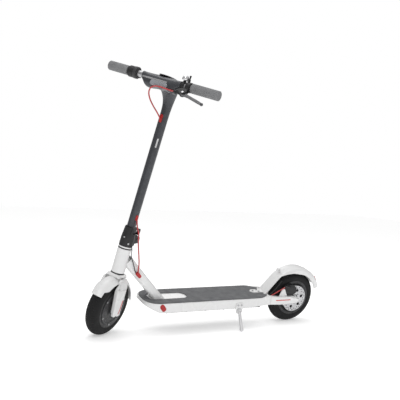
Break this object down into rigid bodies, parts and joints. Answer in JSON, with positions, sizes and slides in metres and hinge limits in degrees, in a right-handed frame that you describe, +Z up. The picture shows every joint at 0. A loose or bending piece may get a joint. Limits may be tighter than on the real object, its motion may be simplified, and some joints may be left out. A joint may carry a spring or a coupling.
{
  "type": "electric kick scooter",
  "caption": "Folding electric kick scooter with pneumatic tyres, front hub motor, rear disc brake and fenders, parked leaning on its side stand with the bars turned left",
  "frame": {"origin": "on the ground below the middle of the scooter's bounding box", "axes": "+X towards the front of the deck, +Y to the rider's left, +Z up; parked leaning left on the stand"},
  "size_m": [1.041, 0.4664, 0.9713],
  "materials": {
    "bare_aluminium": "satin",
    "battery_wrap": "satin",
    "black_paint": "satin",
    "black_plastic": "matte",
    "cable_red": "gloss",
    "chrome": "polished",
    "grip_rubber": "matte",
    "lens": "gloss",
    "mat_rubber": "matte",
    "motor_black": "satin",
    "red_plastic": "gloss",
    "red_rubber": "satin",
    "steel": "brushed",
    "stem_paint": "satin",
    "tube_rubber": "matte",
    "tyre_rubber": "matte",
    "white_paint": "gloss",
    "white_plastic": "gloss"
  },
  "bodies": {
    "frame": {"head_tube": "white_paint", "down_tube": "white_paint", "frame_grommet": "red_rubber", "deck_frame": "white_paint", "deck_mat": "mat_rubber", "bottom_cover": "black_plastic", "battery_pack": "battery_wrap", "motor_controller": "bare_aluminium", "charge_socket": "black_plastic", "frame_screws_and_head_bearings": "steel", "rear_fender": "white_plastic", "tail_light": "red_plastic", "rear_arms": "white_paint", "rear_axle": "steel", "caliper_body": "black_paint", "rear_cables": "cable_red", "stand_bracket": "black_paint"},
    "fork": {"fork": "white_paint", "fork_leg_covers": "white_plastic", "front_fender": "white_plastic", "motor_axle_and_nuts": "steel", "motor_stator": "steel", "headset_rings": "black_plastic", "headset_spacer": "white_plastic", "fold_base": "black_paint", "fold_pin_and_screws": "steel", "crossing_cables": "cable_red"},
    "front_wheel": {"front_tyre": "tyre_rubber", "front_inner_tube": "tube_rubber", "motor_shell": "motor_black", "motor_covers": "motor_black", "motor_bearings_magnets_screws": "steel"},
    "rear_wheel": {"rear_tyre": "tyre_rubber", "rear_inner_tube": "tube_rubber", "rear_rim": "motor_black", "rear_bearings_and_bolts": "steel", "brake_disc": "steel"},
    "stem": {"stem_foot": "black_paint", "stem_tube": "stem_paint", "stem_grommets": "red_rubber", "stem_head": "stem_paint", "dash_cover": "black_plastic", "headlight_lens": "lens", "handlebar": "bare_aluminium", "grips": "grip_rubber", "throttle_housing": "black_plastic", "brake_bracket": "black_paint", "lever_pins": "steel", "bell_base": "black_plastic", "bell_dome": "chrome", "brake_cable_upper": "cable_red"},
    "latch": {"latch_lever": "black_paint"},
    "catch": {"safety_catch": "red_plastic"},
    "lever": {"brake_lever": "bare_aluminium"},
    "caliper_arm": {"caliper_arm": "black_paint"},
    "throttle": {"throttle_lever": "black_plastic"},
    "striker": {"bell_striker": "black_plastic"},
    "button": {"power_button": "black_plastic"},
    "stand": {"stand_leg": "black_paint"},
    "flap": {"charge_flap": "red_rubber"}
  },
  "joints": [
    {"name": "steering", "type": "hinge", "parent": "frame", "child": "fork", "pos_m": [0.42547, -0.15667, 0.10523], "axis": [-0.1672, 0.1965, 0.9661], "range_deg": [-88, 22], "deforming": ["crossing_cables"]},
    {"name": "front_wheel_spin", "type": "hinge", "parent": "fork", "child": "front_wheel", "pos_m": [0.42547, -0.15667, 0.10523], "axis": [-0.5372, 0.8035, -0.2564], "continuous": true},
    {"name": "rear_wheel_spin", "type": "hinge", "parent": "frame", "child": "rear_wheel", "pos_m": [-0.39653, -0.15667, 0.10635], "axis": [-0.0003, 0.9799, -0.1994], "continuous": true},
    {"name": "stem_fold", "type": "hinge", "parent": "fork", "child": "stem", "pos_m": [0.35407, -0.12487, 0.35448], "axis": [0.5372, -0.8035, 0.2564], "range_deg": [0, 88]},
    {"name": "fold_latch", "type": "hinge", "parent": "stem", "child": "latch", "pos_m": [0.35715, -0.11316, 0.38472], "axis": [-0.5372, 0.8035, -0.2564], "range_deg": [0, 70]},
    {"name": "safety_catch_hinge", "type": "hinge", "parent": "latch", "child": "catch", "pos_m": [0.34029, -0.12401, 0.38608], "axis": [-0.5372, 0.8035, -0.2564], "range_deg": [0, 30], "stiffness_Nm_per_rad": 0.01},
    {"name": "brake_lever_pivot", "type": "hinge", "parent": "stem", "child": "lever", "pos_m": [0.32105, 0.13662, 0.84928], "axis": [0.5259, 0.5567, 0.6431], "range_deg": [0, 14], "stiffness_Nm_per_rad": 1, "springref_deg": -5.73},
    {"name": "caliper_arm_pivot", "type": "hinge", "parent": "frame", "child": "caliper_arm", "pos_m": [-0.36247, -0.0981, 0.14337], "axis": [-0.0003, 0.9799, -0.1994], "range_deg": [-0.1, 13], "deforming": ["rear_cables"]},
    {"name": "throttle_pivot", "type": "hinge", "parent": "stem", "child": "throttle", "pos_m": [0.41896, -0.05053, 0.93124], "axis": [0.5372, -0.8035, 0.2564], "range_deg": [0, 25], "stiffness_Nm_per_rad": 0.2, "springref_deg": -5.73},
    {"name": "bell_striker_pivot", "type": "hinge", "parent": "stem", "child": "striker", "pos_m": [0.29622, 0.13186, 0.89609], "axis": [-0.8267, -0.5619, -0.0288], "range_deg": [0, 25], "stiffness_Nm_per_rad": 0.02},
    {"name": "power_button_press", "type": "slide", "parent": "stem", "child": "button", "axis": [0.2102, -0.1668, -0.9633], "range_m": [0, 0.0012], "stiffness_N_per_m": 300},
    {"name": "stand_pivot", "type": "hinge", "parent": "frame", "child": "stand", "pos_m": [-0.09657, -0.08411, 0.07281], "axis": [0.0005, 0.9171, 0.3987], "range_deg": [0, 88]},
    {"name": "charge_flap_hinge", "type": "hinge", "parent": "frame", "child": "flap", "pos_m": [0.24849, -0.08201, 0.11579], "axis": [1, 0, -0.0014], "range_deg": [0, 100]}
  ],
  "couplings": [
    {"joint": "caliper_arm_pivot", "follows": "brake_lever_pivot", "ratio": 0.9}
  ]
}
